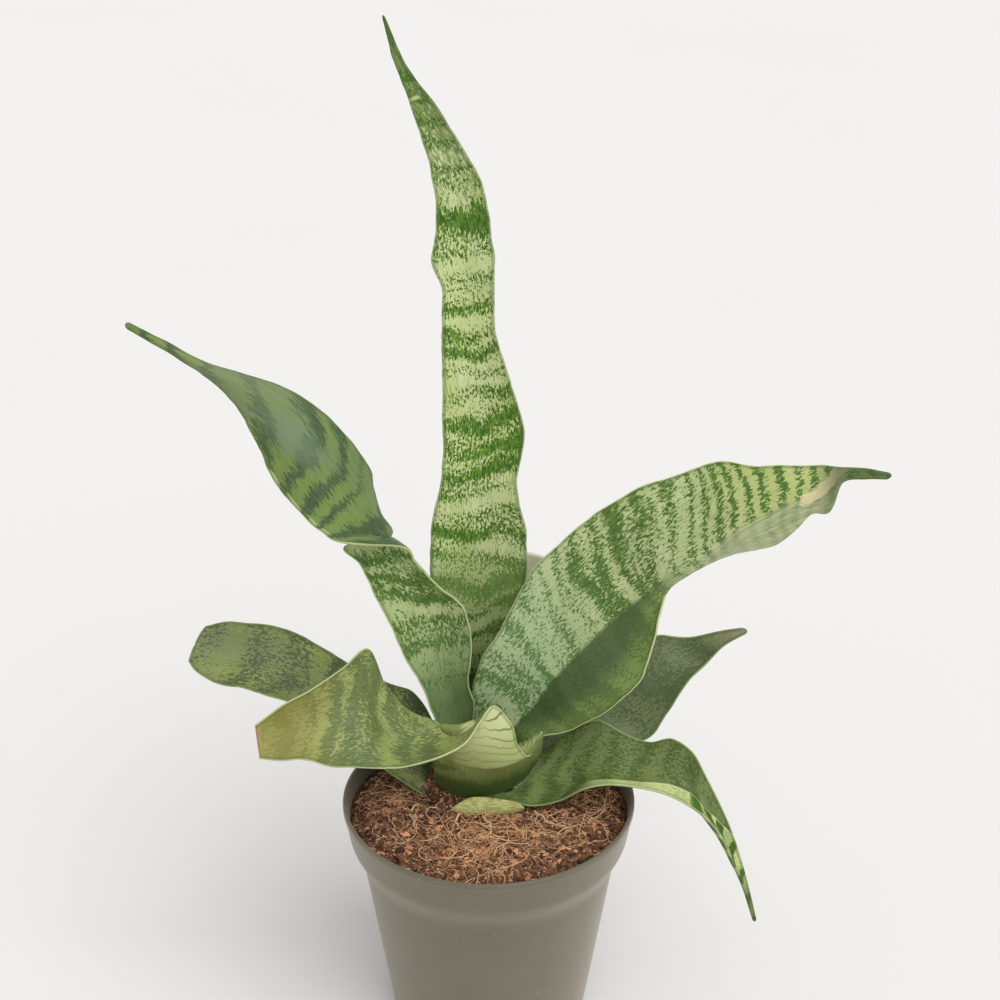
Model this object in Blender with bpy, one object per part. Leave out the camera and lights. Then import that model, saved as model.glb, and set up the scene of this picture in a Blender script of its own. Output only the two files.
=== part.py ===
"""A small snake plant in a round plastic nursery pot.

Eight stiff, channelled leaves rise from a short rhizome whose top is level with the potting mix.
The origin is the centre of the pot's underside, +Z is up and the plant's broad side faces -Y.
Sizes below are millimetres; everything is built in metres.
"""

import math

import bmesh
import bpy
import numpy as np
from mathutils import Vector

MM = 0.001

# ---- Driving dimensions, in millimetres ----

POT_HEIGHT = 78.0
POT_RIM_DIAMETER = 90.0
POT_BASE_DIAMETER = 61.0
POT_WALL = 1.0
POT_FLOOR = 1.6
COLLAR_HEIGHT = 12.0
COLLAR_TAPER = 2.0
SHOULDER_HEIGHT = 7.0
SHOULDER_INSET = 3.6
RIM_ROUNDING = 0.3

DRAIN_HOLE_DIAMETER = 8.0
DRAIN_HOLE_COUNT = 6
DRAIN_CIRCLE_DIAMETER = 36.0

SOIL_BELOW_RIM = 3.5
SOIL_EDGE_DROP = 1.5
SOIL_EDGE_WIDTH = 4.0

CROWN_X = -4.0
CROWN_Y = 15.0
CROWN_DIAMETER = 34.0
CROWN_DEPTH = 22.0
CROWN_WAIST = 0.82

PLANT_SCALE = 1.0
LEAF_THICKNESS = 2.0
MARGIN_THICKNESS = 0.9
TIP_THICKNESS = 0.8

ROOT_DIAMETER = 1.0

GAP = 0.3

ROUND_SEGMENTS = 72
LEAF_ROWS = 26
LEAF_COLUMNS = 8
SHEATH_ROWS = 4
ROOT_STEP = 2.0

# ---- Worked out from the sizes above ----

SOIL_TOP = POT_HEIGHT - SOIL_BELOW_RIM
POT_RIM_RADIUS = POT_RIM_DIAMETER / 2
POT_BASE_RADIUS = POT_BASE_DIAMETER / 2
COLLAR_FOOT_RADIUS = POT_RIM_RADIUS - COLLAR_TAPER
COLLAR_FOOT_HEIGHT = POT_HEIGHT - COLLAR_HEIGHT
BODY_TOP_RADIUS = COLLAR_FOOT_RADIUS - SHOULDER_INSET
BODY_TOP_HEIGHT = COLLAR_FOOT_HEIGHT - SHOULDER_HEIGHT
CROWN_RADIUS = CROWN_DIAMETER / 2

# ---- The leaves ----
#
# Every leaf stands on an arc about the middle of the crown: its radius, the bearings of its left
# and right margins in degrees from +X, and the depth of its channel. From there it is drawn by
# stations up to its tip: left margin, right margin, channel depth. Points are measured from the
# pot's axis and up from the potting mix. A channel opens towards across (left to right) x along.
# The arching leaf is folded too unevenly for a depth, so its stations hold a point of its rib.

TALL_LEAF = [
    (11, 145, 45, 4.5),
    ((-12, 19, 13), (4, 20, 13), 5.5),
    ((-16, 19, 44), (9, 20, 44), 6.0),
    ((-17, 18, 76), (11, 19, 77), 5.0),
    ((-14, 17, 107), (11, 18, 108), 4.5),
    ((-13, 16, 134), (7, 17, 134), 3.5),
    ((-13, 15, 162), (2, 15, 162), 2.5),
    ((-15, 13, 196), (-2, 13, 197), 2.0),
    ((-25, 9, 230), (-22, 9, 230), 0.5),
    ((-28, 7, 243), (-27, 7, 243), 0.1),
]
TWISTED_LEAF = [
    (7, 235, 124, 3.0),
    ((-16, 9, 25), (-5, 14, 28), 4.0),
    ((-25, 8, 47), (-6, 11, 51), 5.0),
    ((-33, 8, 68), (-15, 10, 71), 4.5),
    ((-41, 10, 84), (-25, 2, 87), 3.0),
    ((-36, 12, 90), (-35, -5, 93), 2.5),
    ((-33, 10, 100), (-49, -5, 99), 2.5),
    ((-35, 6, 116), (-60, -5, 114), 3.0),
    ((-46, 2, 133), (-66, -6, 132), 3.0),
    ((-63, -1, 144), (-74, -6, 143), 2.0),
    ((-89, -7, 158), (-91, -8, 157), 0.5),
    ((-98, -9, 164), (-99, -9, 163), 0.1),
]
ARCHING_LEAF = [
    (6.5, 85, -45, 3.5),
    ((-5, 15, 32), (16, 8, 20), (8, 14, 20)),
    ((4, 12, 56), (32, 4, 28), (20, 14, 36)),
    ((15, 11, 79), (45, 2, 42), (32, 12, 53)),
    ((30, 10, 95), (50, 5, 59), (44, 12, 66)),
    ((43, 9, 104), (55, 12, 71), (52, 8, 75)),
    ((56, 8, 112), (67, 16, 81), (61, 5, 84)),
    ((72, 5, 115), (77, 12, 86), (77, 1, 98)),
    ((86, 2, 116), (91, 6, 94), (88, 0, 105)),
    ((100, 0, 116), (100, 1, 110), (100, -1, 113)),
    ((115, -2, 115), (114, -2, 113), (114, -2, 114)),
]
BACK_RIGHT_LEAF = [
    (15, 40, -17, 2.0),
    ((9, 25, 5), (13, 11, 4), 2.0),
    ((14, 27, 14), (22, 15, 9), 3.0),
    ((23, 30, 23), (35, 18, 13), 3.5),
    ((38, 34, 33), (50, 21, 14), 4.0),
    ((53, 37, 39), (59, 26, 24), 4.0),
    ((65, 38, 38), (67, 31, 30), 2.0),
    ((80, 36, 42), (81, 35, 40), 0.2),
]
DROOPING_LEAF = [
    (15, -32, -112, 3.5),
    ((11, 8, 4), (-7, 0, 3), 3.5),
    ((19, 13, 12), (7, -2, 5), 4.0),
    ((27, 12, 20), (17, -3, 5), 4.5),
    ((36, 10, 23), (31, -7, 11), 5.0),
    ((48, 6, 21), (48, -11, 14), 5.0),
    ((57, 1, 22), (59, -14, 11), 5.0),
    ((65, -6, 17), (66, -17, 6), 3.5),
    ((71, -12, 4), (71, -18, -3), 2.0),
    ((82, -22, -27), (81, -22, -28), 0.3),
]
FOLDED_LEAF = [
    (11, -30, -150, 5.0),
    ((9, 7, 6), (-15, 7, 5), 5.0),
    ((15, 2, 18), (-17, 5, 11), 5.0),
    ((13, -2, 22), (-18, 5, 17), 6.0),
    ((8, -4, 32), (-18, 5, 22), 5.0),
    ((1, -5, 39), (-18, 5, 26), 4.0),
    ((-5, -10, 31), (-22, 5, 29), 5.0),
    ((-14, -15, 28), (-26, 4, 33), 6.0),
    ((-26, -18, 26), (-32, 3, 43), 6.0),
    ((-38, -20, 27), (-37, 2, 53), 5.0),
    ((-56, -22, 30), (-56, -11, 45), 3.0),
    ((-66, -23, 32), (-68, -18, 40), 1.5),
]
LOW_LEFT_LEAF = [
    (15, 225, 152, 2.5),
    ((-18, 4, 4), (-19, 23, 5), 2.5),
    ((-28, 7, 7), (-19, 24, 14), 3.5),
    ((-38, 9, 12), (-25, 27, 23), 4.5),
    ((-49, 12, 21), (-34, 30, 28), 4.5),
    ((-63, 15, 28), (-47, 32, 34), 3.5),
    ((-76, 18, 30), (-61, 33, 42), 3.0),
    ((-92, 22, 37), (-89, 32, 46), 1.0),
]
SHORT_BACK_LEAF = [
    (15, 100, 50, 1.5),
    ((3, 34, 20), (18, 32, 22), 3.0),
    ((4, 35, 46), (19, 33, 46), 3.0),
    ((6, 36, 70), (18, 34, 67), 2.5),
]
BASAL_SHEATH = [
    (19.5, -62, -140, 3.5),
    ((5, -2, 3), (-18, 3, 3), 3.5),
]
FOOT_RADIUS = BASAL_SHEATH[0][0]

LEAVES = {
    "leaf_centre_tall": TALL_LEAF,
    "leaf_left_twisted": TWISTED_LEAF,
    "leaf_right_arching": ARCHING_LEAF,
    "leaf_right_back": BACK_RIGHT_LEAF,
    "leaf_right_drooping": DROOPING_LEAF,
    "leaf_front_folded": FOLDED_LEAF,
    "leaf_left_low": LOW_LEFT_LEAF,
    "leaf_back_short": SHORT_BACK_LEAF,
}

# Each surface root runs over the mix through these places, as X, Y from the pot's axis. The roots
# start at the plant's foot, so they move out from the crown as far as that foot grows.
SURFACE_ROOTS = [
    [(-22, 0), (-24, -5), (-22, -13)],
    [(-9, -6), (-10, -10), (-7, -14)],
    [(-2, -7), (1, -11), (0, -16)],
    [(14, -3), (18, -9), (24, -12)],
    [(36, 3), (35, -4), (30, -9)],
]


def clear_scene():
    for obj in list(bpy.data.objects):
        bpy.data.objects.remove(obj, do_unlink=True)


def material(name, colour, roughness):
    made = bpy.data.materials.new(name)
    made.use_nodes = True
    shader = made.node_tree.nodes["Principled BSDF"]
    shader.inputs["Base Color"].default_value = (*colour, 1.0)
    shader.inputs["Roughness"].default_value = roughness
    return made


def add_object(name, mesh_data, finish):
    """Puts a mesh or a curve in the scene under its sub-part's name."""
    obj = bpy.data.objects.new(name, mesh_data)
    bpy.context.scene.collection.objects.link(obj)
    mesh_data.materials.append(finish)
    return obj


def finish_mesh(work, name, finish, sharp_angle=40):
    bmesh.ops.recalc_face_normals(work, faces=work.faces)
    mesh = bpy.data.meshes.new(name)
    work.to_mesh(mesh)
    work.free()
    mesh.shade_smooth()
    mesh.set_sharp_from_angle(angle=math.radians(sharp_angle))
    return add_object(name, mesh, finish)


def skin_rings(work, rings):
    """Joins each ring of vertices to the next with quads."""
    for lower, upper in zip(rings, rings[1:]):
        for i in range(len(lower)):
            j = (i + 1) % len(lower)
            work.faces.new((lower[i], lower[j], upper[j], upper[i]))


def stacked_rings(name, rings, segments, finish):
    """A closed solid from circles given as (centre X, centre Y, radius, height)."""
    work = bmesh.new()
    made = []
    for x, y, radius, height in rings:
        turn = [2 * math.pi * i / segments for i in range(segments)]
        places = [(x + radius * math.cos(a), y + radius * math.sin(a), height) for a in turn]
        made.append([work.verts.new(Vector(place) * MM) for place in places])
    skin_rings(work, made)
    work.faces.new(made[0][::-1])
    work.faces.new(made[-1])
    return finish_mesh(work, name, finish)


# ---- Pot ----


def pot_radius(height, inset=0.0):
    """Radius of the pot's outside at a height, less an inset."""
    heights = [0.0, BODY_TOP_HEIGHT, COLLAR_FOOT_HEIGHT, POT_HEIGHT]
    radii = [POT_BASE_RADIUS, BODY_TOP_RADIUS, COLLAR_FOOT_RADIUS, POT_RIM_RADIUS]
    return float(np.interp(height, heights, radii)) - inset


def make_pot(finish):
    rounding = min(RIM_ROUNDING, POT_WALL / 3)
    bends = [BODY_TOP_HEIGHT, COLLAR_FOOT_HEIGHT]
    outside = [(pot_radius(h), h) for h in [0.0, *bends, POT_HEIGHT - rounding]]
    inside = [(pot_radius(h, POT_WALL), h) for h in [POT_FLOOR, *bends, POT_HEIGHT - rounding]]
    top = [
        (POT_RIM_RADIUS - rounding, POT_HEIGHT),
        (POT_RIM_RADIUS - POT_WALL + rounding, POT_HEIGHT),
    ]
    profile = outside + top + inside[::-1]
    rings = [(0.0, 0.0, radius, height) for radius, height in profile]
    pot = stacked_rings("pot", rings, ROUND_SEGMENTS, finish)
    for i in range(DRAIN_HOLE_COUNT):
        cut_drain_hole(pot, i, 2 * math.pi * i / DRAIN_HOLE_COUNT)
    return pot


def cut_drain_hole(pot, index, angle):
    radius = DRAIN_CIRCLE_DIAMETER / 2
    bpy.ops.mesh.primitive_cylinder_add(
        vertices=24,
        radius=DRAIN_HOLE_DIAMETER / 2 * MM,
        depth=4 * POT_FLOOR * MM,
        location=(radius * math.cos(angle) * MM, radius * math.sin(angle) * MM, 0),
    )
    cutter = bpy.context.object
    cutter.name = f"drain_cutter_{index + 1}"
    cutter.hide_render = True
    cutter.display_type = "WIRE"
    cut = pot.modifiers.new(f"drain hole {index + 1}", "BOOLEAN")
    cut.operation = "DIFFERENCE"
    cut.solver = "EXACT"
    cut.object = cutter


# ---- Potting mix and rhizome ----


def crown_profile(clearance):
    """The rhizome's side from its top to its foot, as (radius, height), grown by a clearance."""
    foot = SOIL_TOP - CROWN_DEPTH - clearance
    return [
        (CROWN_RADIUS + clearance, SOIL_TOP),
        (CROWN_RADIUS + clearance, SOIL_TOP - CROWN_DEPTH / 2),
        (CROWN_RADIUS * CROWN_WAIST + clearance, foot),
    ]


def make_mix(finish):
    fit = POT_WALL + GAP
    edge_height = SOIL_TOP - SOIL_EDGE_DROP
    heights = [h for h in (BODY_TOP_HEIGHT, COLLAR_FOOT_HEIGHT) if h < edge_height]
    floor = POT_FLOOR + GAP
    rings = [(0.0, 0.0, pot_radius(floor, fit), floor)]
    rings += [(0.0, 0.0, pot_radius(h, fit), h) for h in heights]
    rings.append((0.0, 0.0, pot_radius(edge_height, fit), edge_height))
    rings.append((0.0, 0.0, pot_radius(SOIL_TOP, fit + SOIL_EDGE_WIDTH), SOIL_TOP))
    rings += [(CROWN_X, CROWN_Y, radius, height) for radius, height in crown_profile(GAP)]
    return stacked_rings("potting_mix", rings, ROUND_SEGMENTS, finish)


def make_rhizome(finish):
    rings = [(CROWN_X, CROWN_Y, radius, height) for radius, height in crown_profile(0.0)]
    return stacked_rings("rhizome", rings[::-1], ROUND_SEGMENTS, finish)


# ---- Leaves ----


def smooth_curve(knots, values, places):
    """A smooth curve through values at the knots, read at the places."""
    slopes = np.gradient(values, knots, axis=0)
    span = np.clip(np.searchsorted(knots, places, side="right") - 1, 0, len(knots) - 2)
    width = knots[span + 1] - knots[span]
    t = ((places - knots[span]) / width)[:, None]
    start, end = values[span], values[span + 1]
    rise, fall = slopes[span] * width[:, None], slopes[span + 1] * width[:, None]
    eased = start * (2 * t**3 - 3 * t**2 + 1) + end * (3 * t**2 - 2 * t**3)
    return eased + rise * (t**3 - 2 * t**2 + t) + fall * (t**3 - t**2)


def unit(vectors):
    return vectors / np.linalg.norm(vectors, axis=-1, keepdims=True)


def crown_arc(radius, left_bearing, right_bearing, depth, with_rib):
    """The station where a leaf leaves the crown, with the depth of its channel or its rib's point."""
    ends = [math.radians(bearing) for bearing in (left_bearing, right_bearing)]
    left, right = (
        (CROWN_X + radius * math.cos(end), CROWN_Y + radius * math.sin(end), 0.0) for end in ends
    )
    if not with_rib:
        return left, right, depth
    middle = (np.array(left) + right) / 2
    return left, right, middle + unit(middle - (CROWN_X, CROWN_Y, 0.0)) * depth


def blade_surface(leaf, rows, columns):
    """Points of the leaf's middle surface, (rows, columns, 3), in its own millimetres."""
    with_rib = isinstance(leaf[-1][2], tuple)
    stations = [crown_arc(*leaf[0], with_rib), *leaf[1:]]
    left = np.array([station[0] for station in stations], float)
    right = np.array([station[1] for station in stations], float)
    drawn = np.array([np.atleast_1d(station[2]) for station in stations], float)
    steps = np.linalg.norm(np.diff((left + right) / 2, axis=0), axis=1)
    knots = np.concatenate([[0.0], np.cumsum(steps)])
    places = np.linspace(0.0, knots[-1], rows)
    left, right, drawn = (smooth_curve(knots, v, places) for v in (left, right, drawn))
    middle = (left + right) / 2
    if with_rib:
        sag = drawn - middle
    else:
        channel = unit(np.cross(right - left, np.gradient(middle, axis=0)))
        channel[0, 2] = 0.0
        sag = -channel * drawn
    across = np.linspace(0.0, 1.0, columns)[None, :, None]
    hollow = 1.0 - (2.0 * across - 1.0) ** 2
    flat = left[:, None] * (1 - across) + right[:, None] * across
    return flat + sag[:, None] * hollow


def blade_normals(points):
    normals = unit(np.cross(np.gradient(points, axis=1), np.gradient(points, axis=0)))
    # The cut base stays level, so its row is thickened sideways only.
    normals[0, :, 2] = 0.0
    normals[0] = unit(normals[0])
    return normals


def half_thickness(rows, columns):
    """Half the leaf's thickness: full along the rib, thin at the margins and the tip."""
    along = np.linspace(0.0, 1.0, rows)[:, None]
    across = np.linspace(-1.0, 1.0, columns)[None, :]
    rib = LEAF_THICKNESS + (TIP_THICKNESS - LEAF_THICKNESS) * along**3
    margin = np.minimum(MARGIN_THICKNESS, rib)
    return (margin + (rib - margin) * (1.0 - across**2)) / 2


def make_leaf(name, leaf, rows, finish):
    """A closed blade: a front and a back skin joined round its margins, its base and its tip."""
    middle = blade_surface(leaf, rows, LEAF_COLUMNS)
    offset = blade_normals(middle) * half_thickness(rows, LEAF_COLUMNS)[..., None]
    foot = np.array([CROWN_X, CROWN_Y, 0.0])
    lift = np.array([0.0, 0.0, SOIL_TOP + GAP])
    work = bmesh.new()
    loops = []
    for row_middle, row_offset in zip(middle, offset):
        loop = np.concatenate([row_middle + row_offset, (row_middle - row_offset)[::-1]])
        placed = (loop - foot) * PLANT_SCALE + foot + lift
        loops.append([work.verts.new(Vector(point) * MM) for point in placed])
    skin_rings(work, loops)
    for end in (loops[0], loops[-1]):
        for i in range(LEAF_COLUMNS - 1):
            work.faces.new((end[i], end[i + 1], end[-2 - i], end[-1 - i]))
    return finish_mesh(work, name, finish, sharp_angle=60)


# ---- Surface roots ----


def make_root(name, places, finish):
    """A thin round root that lies on the potting mix."""
    points = np.array(places, float)
    away = unit(points - (CROWN_X, CROWN_Y))
    points += away * FOOT_RADIUS * (PLANT_SCALE - 1.0)
    steps = np.linalg.norm(np.diff(points, axis=0), axis=1)
    knots = np.concatenate([[0.0], np.cumsum(steps)])
    count = max(4, round(knots[-1] / ROOT_STEP))
    run = smooth_curve(knots, points, np.linspace(0.0, knots[-1], count))
    curve = bpy.data.curves.new(name, "CURVE")
    curve.dimensions = "3D"
    curve.bevel_depth = ROOT_DIAMETER / 2 * MM
    curve.bevel_resolution = 1
    curve.use_fill_caps = True
    spline = curve.splines.new("POLY")
    spline.points.add(count - 1)
    height = SOIL_TOP + GAP + ROOT_DIAMETER / 2
    for point, (x, y) in zip(spline.points, run):
        point.co = (x * MM, y * MM, height * MM, 1.0)
    return add_object(name, curve, finish)


def build():
    clear_scene()
    plastic = material("pot_plastic", (0.115, 0.105, 0.09), 0.5)
    mix = material("potting_mix", (0.15, 0.06, 0.03), 0.95)
    rhizome = material("rhizome", (0.45, 0.38, 0.2), 0.7)
    leaf = material("leaf", (0.12, 0.24, 0.09), 0.45)
    sheath = material("sheath", (0.42, 0.48, 0.17), 0.55)
    root = material("root", (0.6, 0.45, 0.26), 0.8)
    make_pot(plastic)
    make_mix(mix)
    make_rhizome(rhizome)
    for name, drawn in LEAVES.items():
        make_leaf(name, drawn, LEAF_ROWS, leaf)
    make_leaf("basal_sheath", BASAL_SHEATH, SHEATH_ROWS, sheath)
    for number, places in enumerate(SURFACE_ROOTS, 1):
        make_root(f"surface_root_{number}", places, root)


build()
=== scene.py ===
# %% [markdown]
# # A young snake plant in a nursery pot
#
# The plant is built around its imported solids: a pot, the potting mix, a root stock, eight leaves, a
# sheath and a few roots. Those solids are plain, so this lesson gives every piece its fine surface,
# one at a time, and finishes with the floor, the light and the camera. Shapes are in millimetres
# from the pot's axis. `MM` turns them into metres, which Blender and the finishes use.

# %% Load the frame
import math
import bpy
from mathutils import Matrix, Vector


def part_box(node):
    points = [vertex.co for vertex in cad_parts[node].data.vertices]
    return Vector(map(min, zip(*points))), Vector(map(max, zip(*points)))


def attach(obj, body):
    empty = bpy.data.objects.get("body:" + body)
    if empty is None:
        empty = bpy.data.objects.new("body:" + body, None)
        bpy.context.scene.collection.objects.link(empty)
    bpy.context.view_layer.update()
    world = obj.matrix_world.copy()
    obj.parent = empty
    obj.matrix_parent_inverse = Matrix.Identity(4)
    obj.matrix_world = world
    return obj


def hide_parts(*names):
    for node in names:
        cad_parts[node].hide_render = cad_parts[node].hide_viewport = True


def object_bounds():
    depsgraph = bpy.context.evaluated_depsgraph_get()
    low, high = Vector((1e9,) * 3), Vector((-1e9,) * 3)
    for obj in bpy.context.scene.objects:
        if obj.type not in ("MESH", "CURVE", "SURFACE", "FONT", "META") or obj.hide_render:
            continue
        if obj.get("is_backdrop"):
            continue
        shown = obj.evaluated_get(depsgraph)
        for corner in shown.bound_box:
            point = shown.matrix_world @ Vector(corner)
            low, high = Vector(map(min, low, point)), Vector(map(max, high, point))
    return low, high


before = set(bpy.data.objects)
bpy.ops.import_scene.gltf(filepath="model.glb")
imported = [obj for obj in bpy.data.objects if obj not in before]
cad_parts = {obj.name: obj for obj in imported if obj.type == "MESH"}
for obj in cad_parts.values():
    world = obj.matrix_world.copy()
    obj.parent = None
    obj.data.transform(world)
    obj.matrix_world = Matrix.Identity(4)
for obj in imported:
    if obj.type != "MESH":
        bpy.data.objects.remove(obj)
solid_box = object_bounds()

from types import SimpleNamespace

import bmesh
import bpy
import numpy as np
from mathutils import Vector, noise

MM = 0.001
root_body = "root"
print("nodes in the frame:", len(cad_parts))

# %% [markdown]
# ## Sizes read from the solids
#
# The pot's top, the level of the mix and the width of the rim come from the solids themselves, so
# nothing here has to be fitted afterwards.

# %% Sizes
pot_low, pot_high = (np.array(corner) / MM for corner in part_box("pot"))
mix_high = np.array(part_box("potting_mix")[1]) / MM
POT_TOP = pot_high[2]
RIM_RADIUS = (pot_high[0] - pot_low[0]) / 2
SOIL_TOP = mix_high[2]
CROWN = np.mean(np.array(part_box("rhizome")), axis=0)[:2] / MM
print(f"rim {2 * RIM_RADIUS:.1f} mm wide, top at {POT_TOP:.1f} mm, mix at {SOIL_TOP:.1f} mm")

# %% [markdown]
# ## Helpers for meshes
#
# Every piece ends up as one mesh made from an array of points and a list of faces. A helper that
# turns both into an object, links it, and hands it to its body keeps the later cells short.

# %% Mesh helpers
def place(obj, node_names):
    """The piece moves with the plant's one body and stands for the named solids."""
    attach(obj, root_body)
    if node_names:
        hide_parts(*node_names)


def new_object(name, points, faces, finish):
    """A smooth-shaded mesh object from points in millimetres."""
    mesh = bpy.data.meshes.new(name)
    mesh.from_pydata((np.asarray(points) * MM).tolist(), [], faces)
    mesh.materials.append(finish)
    mesh.shade_smooth()
    obj = bpy.data.objects.new(name, mesh)
    bpy.context.scene.collection.objects.link(obj)
    return obj


def point_values(obj, name, values):
    """Stores a vector on every point, for the materials to read."""
    layer = obj.data.attributes.new(name, "FLOAT_VECTOR", "POINT")
    layer.data.foreach_set("vector", np.asarray(values, np.float32).ravel())


def strip_faces(rows, columns, start=0, closed=False):
    """Quads of a grid of points, with its last column joined to its first if closed."""
    faces = []
    last = columns if closed else columns - 1
    for i in range(rows - 1):
        for j in range(last):
            k = (j + 1) % columns
            a, b = start + i * columns, start + (i + 1) * columns
            faces.append((a + j, a + k, b + k, b + j))
    return faces


def closed_faces(rows, columns):
    """The faces of a grid rolled into a tube, with a cap on either end."""
    last = (rows - 1) * columns
    caps = [tuple(range(columns))[::-1], tuple(range(last, last + columns))]
    return strip_faces(rows, columns, closed=True) + caps


def full_turn(steps):
    """Angles in even steps round a circle."""
    return np.linspace(0, 2 * math.pi, steps, endpoint=False)


print("a rolled grid of 3 by 4 points has", len(closed_faces(3, 4)), "faces")

# %% [markdown]
# ## Helpers for materials
#
# A finish is a small graph of nodes. Writing each one as socket links would fill pages, so a few
# helpers add a node, a sum, a noise or a coat of colour in one line each.

# %% Material helpers
bench = SimpleNamespace(tree=None)


def new_material(name, roughness):
    """Starts a material. The helpers below add their nodes to the one on the bench."""
    made = bpy.data.materials.new(name)
    made.use_nodes = True
    bench.tree = made.node_tree
    shader = bench.tree.nodes["Principled BSDF"]
    shader.inputs["Roughness"].default_value = roughness
    return made, shader


def feed(socket, value):
    """Gives an input a value, or links it to another node's output."""
    if isinstance(value, bpy.types.NodeSocket):
        bench.tree.links.new(value, socket)
    else:
        socket.default_value = value


def add(kind, settings=None, **inputs):
    """Adds a node. Inputs are given by name, or by number as in _0."""
    made = bench.tree.nodes.new(kind)
    for key, value in (settings or {}).items():
        setattr(made, key, value)
    for key, value in inputs.items():
        feed(made.inputs[int(key[1:]) if key[0] == "_" else key.replace("_", " ")], value)
    return made


def maths(operation, a, b=None, c=None):
    given = {f"_{i}": value for i, value in enumerate((a, b, c)) if value is not None}
    return add("ShaderNodeMath", {"operation": operation}, **given).outputs[0]


def product(*values):
    result = values[0]
    for value in values[1:]:
        result = maths("MULTIPLY", result, value)
    return result


def scale_add(value, factor, base):
    """value * factor + base."""
    return maths("MULTIPLY_ADD", value, factor, base)


def centred(value):
    return maths("SUBTRACT", value, 0.5)


def between(value, low, high):
    """0 below low, 1 above high, and eased between them."""
    settings = {"interpolation_type": "SMOOTHSTEP"}
    made = add("ShaderNodeMapRange", settings, Value=value, From_Min=low, From_Max=high)
    return made.outputs["Result"]


def falls(value, low, high):
    """1 below low, 0 above high."""
    return maths("SUBTRACT", 1.0, between(value, low, high))


def where_between(value, low, high, ease):
    """1 from low to high, eased to 0 outside."""
    rise = between(value, low - ease, low + ease)
    return product(rise, falls(value, high - ease, high + ease))


def blend_colours(factor, first, second):
    first, second = ((*c, 1.0) if isinstance(c, tuple) else c for c in (first, second))
    return add("ShaderNodeMix", {"data_type": "RGBA"}, _0=factor, _6=first, _7=second).outputs[2]


def paint(tone, colour, *shares):
    """Lays a colour over a tone, as strongly as the shares multiplied together."""
    return blend_colours(product(*shares), tone, colour)


def object_place():
    return add("ShaderNodeTexCoord").outputs["Object"]


def stretched(vector, across, along, third):
    """Scales a place on the piece before a noise reads it."""
    scale = (across, along, third)
    return add("ShaderNodeVectorMath", {"operation": "MULTIPLY"}, _0=vector, _1=scale).outputs[0]


def grain(vector, detail=2.0, roughness=0.5, scale=1.0):
    inputs = {"Vector": vector, "Scale": scale, "Detail": detail, "Roughness": roughness}
    return add("ShaderNodeTexNoise", **inputs).outputs["Fac"]


def raise_surface(shader, height, distance, strength=1.0):
    bump = add("ShaderNodeBump", Height=height, Distance=distance, Strength=strength)
    feed(shader.inputs["Normal"], bump.outputs["Normal"])


print("node helpers ready")

# %% [markdown]
# ## Pot plastic
#
# Nursery pots are moulded from recycled plastic, so the grey-brown is a little uneven and has fine
# specks, and handling leaves dull scuffs. Three noises of different sizes give the tone, the specks
# and the scuffs, and the scuffs also change the roughness, because a scratch scatters light.

# %% Pot plastic
def pot_plastic():
    made, shader = new_material("pot plastic", 0.45)
    shader.inputs["Sheen Weight"].default_value = 0.3
    shader.inputs["Sheen Tint"].default_value = (1.0, 0.92, 0.78, 1.0)
    where = object_place()
    cloud = grain(where, 4.0, 0.6, 45.0)
    speck = between(grain(where, 2.0, 0.6, 1400.0), 0.64, 0.72)
    scuffs = between(grain(stretched(where, 90, 90, 420), 5.0, 0.7), 0.56, 0.74)
    tone = blend_colours(cloud, (0.108, 0.094, 0.060), (0.152, 0.133, 0.089))
    tone = paint(tone, (0.36, 0.33, 0.28), speck, 0.35)
    tone = paint(tone, (0.30, 0.28, 0.25), scuffs, 0.25)
    feed(shader.inputs["Base Color"], tone)
    feed(shader.inputs["Roughness"], scale_add(scuffs, 0.22, 0.42))
    raise_surface(shader, grain(where, 3.0, 0.6, 500.0), 0.00008, 0.6)
    return made


plastic = pot_plastic()
print("material:", plastic.name)

# %% [markdown]
# ## Pot
#
# The pot is a turned shape: a tapered body, a short shoulder and a taller collar with a rolled lip.
# It could be a Screw modifier on a drawn profile. Here the profile is worked out in code instead, so
# that every corner can get its own small round, and then each point is turned into a ring.

# %% Pot profile
WALL = 1.0
FLOOR = 1.6
BASE_RADIUS = 30.5
COLLAR_FOOT = (43.0, 66.0)
BODY_TOP = (39.4, 59.0)


def rounded(points, radii, steps=5):
    """A profile whose corners are cut back and bent into short curves."""
    bent = [points[0]]
    for before, corner, after, radius in zip(points, points[1:], points[2:], radii[1:-1]):
        before, corner, after = map(np.array, (before, corner, after))
        to_before, to_after = before - corner, after - corner
        back = min(radius, *(np.linalg.norm(side) / 2.01 for side in (to_before, to_after)))
        start = corner + to_before / np.linalg.norm(to_before) * back
        end = corner + to_after / np.linalg.norm(to_after) * back
        for t in np.linspace(0, 1, steps):
            bent.append(start * (1 - t) ** 2 + corner * 2 * t * (1 - t) + end * t**2)
    bent.append(points[-1])
    return np.array(bent)


outside = [
    (0.5, 0.0), (BASE_RADIUS, 0.0), BODY_TOP, COLLAR_FOOT,
    (RIM_RADIUS - 0.35, POT_TOP - 2.2), (RIM_RADIUS, POT_TOP - 1.9), (RIM_RADIUS, POT_TOP),
]
inside = [
    (RIM_RADIUS - WALL - 0.1, POT_TOP), (COLLAR_FOOT[0] - WALL, COLLAR_FOOT[1]),
    (BODY_TOP[0] - WALL, BODY_TOP[1]), (BASE_RADIUS - WALL, FLOOR), (0.5, FLOOR),
]
radii = [0, 1.2, 3.0, 2.0, 0.2, 0.3, 0.5, 0.45, 2.0, 3.0, 1.2, 0]
pot_profile = rounded(outside + inside, radii)
print("profile points:", len(pot_profile))

# %% [markdown]
# The drain holes are cut with plain cylinders. A Boolean modifier does that exactly, and applying it
# straight away leaves one clean mesh.

# %% Turn the pot and drill it
POT_SEGMENTS = 192


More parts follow.
